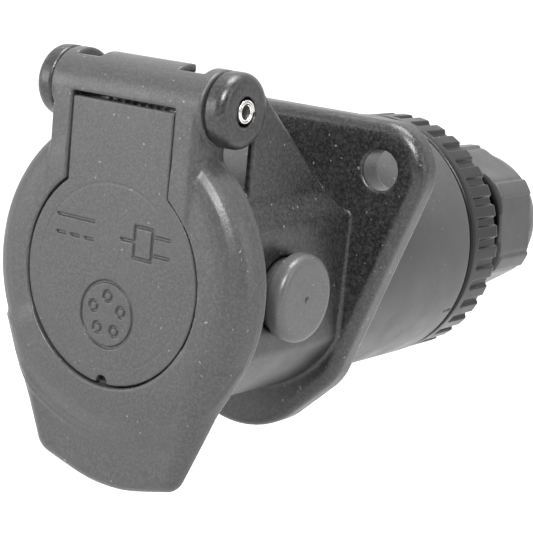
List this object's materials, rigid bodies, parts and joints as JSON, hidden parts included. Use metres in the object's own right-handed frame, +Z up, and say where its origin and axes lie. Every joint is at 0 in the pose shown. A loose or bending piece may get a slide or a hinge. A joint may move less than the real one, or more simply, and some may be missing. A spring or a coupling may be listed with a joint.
{
  "type": "trailer wiring connector socket",
  "caption": "Panel-mounted trailer brake-electronics socket with a sprung hinged lid, bolted flange, locking studs, union ring and cable gland.",
  "frame": {"origin": "on the socket axis, in the plane of the flange's rear face, where the flange meets the panel", "axes": "+X to the right seen from the front, +Y backwards along the socket axis from the lid to the cable gland, +Z up towards the hinge"},
  "size_m": [0.0822, 0.15, 0.0856],
  "materials": {
    "housing_plastic": "grainy glass-filled black plastic",
    "lid_plastic": "matte dark grey moulded plastic, fine spark-eroded grain",
    "smooth_plastic": "satin dark grey plastic",
    "insert_plastic": "satin black plastic",
    "rubber": "matt black rubber",
    "brass": "turned",
    "steel": "plain bright"
  },
  "bodies": {
    "socket_body": {"front_housing": "housing_plastic", "locking_stud_right": "smooth_plastic", "locking_stud_left": "smooth_plastic", "hinge_pin": "steel", "torsion_spring": "steel", "contact_insert": "insert_plastic", "insert_retaining_ring": "insert_plastic", "power_contact_1": "brass", "signal_contact_2": "brass", "signal_contact_3": "brass", "power_contact_4": "brass", "signal_contact_5": "brass", "terminal_screw_1": "steel", "terminal_screw_2": "steel", "terminal_screw_3": "steel", "terminal_screw_4": "steel", "terminal_screw_5": "steel", "extension_sleeve": "smooth_plastic", "sleeve_gasket": "rubber"},
    "lid_assembly": {"lid": "lid_plastic", "lid_inlay": "lid_plastic", "lid_gasket": "rubber"},
    "rear_shell_body": {"rear_shell": "smooth_plastic", "shell_o_ring": "rubber", "gland_seal": "rubber"},
    "union_ring_body": {"union_ring": "smooth_plastic"},
    "slip_ring_body": {"gland_slip_ring": "smooth_plastic"},
    "gland_nut_body": {"gland_nut": "smooth_plastic"}
  },
  "joints": [
    {"name": "lid_hinge", "type": "hinge", "parent": "socket_body", "child": "lid_assembly", "pos_m": [0, -0.04303, 0.0355], "axis": [-1, 0, 0], "range_deg": [0, 110], "stiffness_Nm_per_rad": 0.06, "springref_deg": -60.16, "deforming": ["torsion_spring"]},
    {"name": "rear_shell_slide", "type": "slide", "parent": "socket_body", "child": "rear_shell_body", "axis": [0, 1, 0], "range_m": [0, 0.006]},
    {"name": "union_ring_turn", "type": "hinge", "parent": "rear_shell_body", "child": "union_ring_body", "pos_m": [0, 0.0488, 0], "axis": [0, 1, 0], "range_deg": [0, 720]},
    {"name": "slip_ring_slide", "type": "slide", "parent": "rear_shell_body", "child": "slip_ring_body", "axis": [0, 1, 0], "range_m": [0, 0.0045]},
    {"name": "gland_nut_turn", "type": "hinge", "parent": "slip_ring_body", "child": "gland_nut_body", "pos_m": [0, 0.0953, 0], "axis": [0, 1, 0], "range_deg": [0, 1080]}
  ],
  "couplings": [
    {"joint": "union_ring_turn", "follows": "rear_shell_slide", "rad_per_m": 2094.3},
    {"joint": "gland_nut_turn", "follows": "slip_ring_slide", "rad_per_m": 4188.7}
  ]
}
